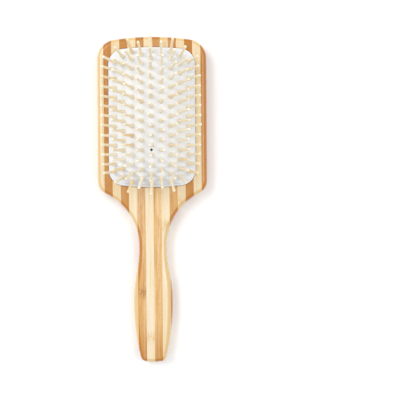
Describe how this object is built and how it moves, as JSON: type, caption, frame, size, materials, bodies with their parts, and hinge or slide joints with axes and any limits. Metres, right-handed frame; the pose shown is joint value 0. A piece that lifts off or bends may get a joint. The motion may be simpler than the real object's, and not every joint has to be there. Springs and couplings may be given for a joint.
{
  "type": "paddle brush",
  "caption": "Bamboo paddle hair brush: a striped laminated board and grip, with a domed air cushion of white rubber that carries fanned rows of round-tipped wooden pins.",
  "frame": {"origin": "middle of the board's length and width, on the flat back that the brush lies on", "axes": "+Y from the end of the handle to the crowned edge of the head, +Z out of the pin side, +X to the right when the pins face the viewer and the handle points down"},
  "size_m": [0.0838, 0.25, 0.0436],
  "materials": {
    "bamboo_natural": "satin",
    "bamboo_caramel": "satin",
    "cushion_rubber": "matte",
    "pin_wood": "satin"
  },
  "bodies": {
    "handle": {"bamboo_strip_01": "bamboo_natural", "bamboo_strip_02": "bamboo_caramel", "bamboo_strip_03": "bamboo_natural", "bamboo_strip_04": "bamboo_caramel", "bamboo_strip_05_head": "bamboo_natural", "bamboo_strip_06": "bamboo_caramel", "bamboo_strip_07": "bamboo_natural", "bamboo_strip_08": "bamboo_caramel", "bamboo_strip_09": "bamboo_natural", "bamboo_strip_10_head": "bamboo_caramel", "bamboo_strip_11": "bamboo_natural", "bamboo_strip_12": "bamboo_caramel", "bamboo_strip_13": "bamboo_natural", "bamboo_strip_14": "bamboo_caramel", "bamboo_strip_05_grip": "bamboo_natural", "bamboo_strip_10_grip": "bamboo_caramel"},
    "cushion": {"rubber_cushion": "cushion_rubber"},
    "pins_1": {"pin_column_1": "pin_wood"},
    "pins_2": {"pin_column_2": "pin_wood"},
    "pins_3": {"pin_column_3": "pin_wood"},
    "pins_4": {"pin_column_4": "pin_wood"},
    "pins_5": {"pin_column_5": "pin_wood"},
    "pins_6": {"pin_column_6": "pin_wood"},
    "pins_7": {"pin_column_7": "pin_wood"},
    "pins_8": {"pin_column_8": "pin_wood"},
    "pins_9": {"pin_column_9": "pin_wood"}
  },
  "joints": [
    {"name": "cushion_press", "type": "slide", "parent": "handle", "child": "cushion", "axis": [0, 0, -1], "range_m": [0, 0.003], "stiffness_N_per_m": 3000, "deforming": ["rubber_cushion"]},
    {"name": "pins_1_rock", "type": "hinge", "parent": "cushion", "child": "pins_1", "pos_m": [-0.02773, 0.0629, 0.0175], "axis": [0, 1, 0], "range_deg": [-8, 8], "stiffness_Nm_per_rad": 0.01},
    {"name": "pins_2_rock", "type": "hinge", "parent": "cushion", "child": "pins_2", "pos_m": [-0.02134, 0.0629, 0.02056], "axis": [0, 1, 0], "range_deg": [-8, 8], "stiffness_Nm_per_rad": 0.01},
    {"name": "pins_3_rock", "type": "hinge", "parent": "cushion", "child": "pins_3", "pos_m": [-0.01449, 0.0629, 0.02295], "axis": [0, 1, 0], "range_deg": [-8, 8], "stiffness_Nm_per_rad": 0.01},
    {"name": "pins_4_rock", "type": "hinge", "parent": "cushion", "child": "pins_4", "pos_m": [-0.00732, 0.0629, 0.02448], "axis": [0, 1, 0], "range_deg": [-8, 8], "stiffness_Nm_per_rad": 0.01},
    {"name": "pins_5_rock", "type": "hinge", "parent": "cushion", "child": "pins_5", "pos_m": [0, 0.0629, 0.025], "axis": [0, 1, 0], "range_deg": [-8, 8], "stiffness_Nm_per_rad": 0.01},
    {"name": "pins_6_rock", "type": "hinge", "parent": "cushion", "child": "pins_6", "pos_m": [0.00732, 0.0629, 0.02448], "axis": [0, 1, 0], "range_deg": [-8, 8], "stiffness_Nm_per_rad": 0.01},
    {"name": "pins_7_rock", "type": "hinge", "parent": "cushion", "child": "pins_7", "pos_m": [0.01449, 0.0629, 0.02295], "axis": [0, 1, 0], "range_deg": [-8, 8], "stiffness_Nm_per_rad": 0.01},
    {"name": "pins_8_rock", "type": "hinge", "parent": "cushion", "child": "pins_8", "pos_m": [0.02134, 0.0629, 0.02056], "axis": [0, 1, 0], "range_deg": [-8, 8], "stiffness_Nm_per_rad": 0.01},
    {"name": "pins_9_rock", "type": "hinge", "parent": "cushion", "child": "pins_9", "pos_m": [0.02773, 0.0629, 0.0175], "axis": [0, 1, 0], "range_deg": [-8, 8], "stiffness_Nm_per_rad": 0.01}
  ]
}
